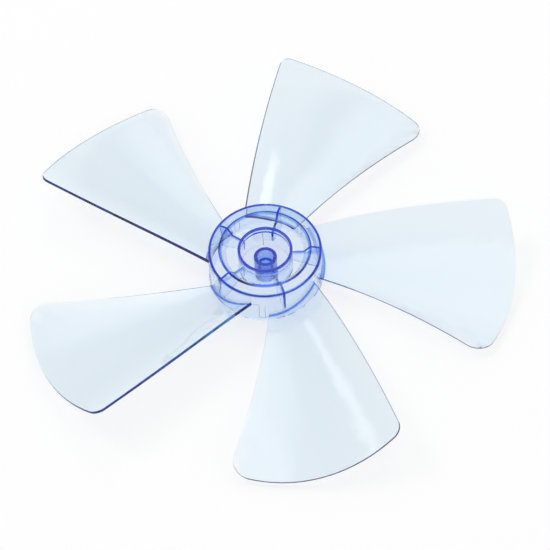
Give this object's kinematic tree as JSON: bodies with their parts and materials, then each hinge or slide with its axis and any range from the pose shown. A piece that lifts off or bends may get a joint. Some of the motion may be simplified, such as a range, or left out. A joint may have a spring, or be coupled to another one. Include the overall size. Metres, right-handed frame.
{
  "type": "pedestal fan blade",
  "caption": "Clear blue one-piece fan blade: stepped hub with nut recess, well, webbed rear and shaft boss, carrying broad cambered, twisted blades that push air forward.",
  "frame": {"origin": "on the shaft axis, in the plane of the hub's rear rim and of the rear face of the shaft boss", "axes": "+Z along the shaft axis towards the front, where the air goes and the nut is put on; +X through the middle of one web, in line with the drive slot"},
  "size_m": [0.3775, 0.3822, 0.0339],
  "materials": {
    "clear_blue_plastic": "polished, see-through, pale blue"
  },
  "bodies": {
    "root": {"fan_blade": "clear_blue_plastic"}
  },
  "joints": []
}
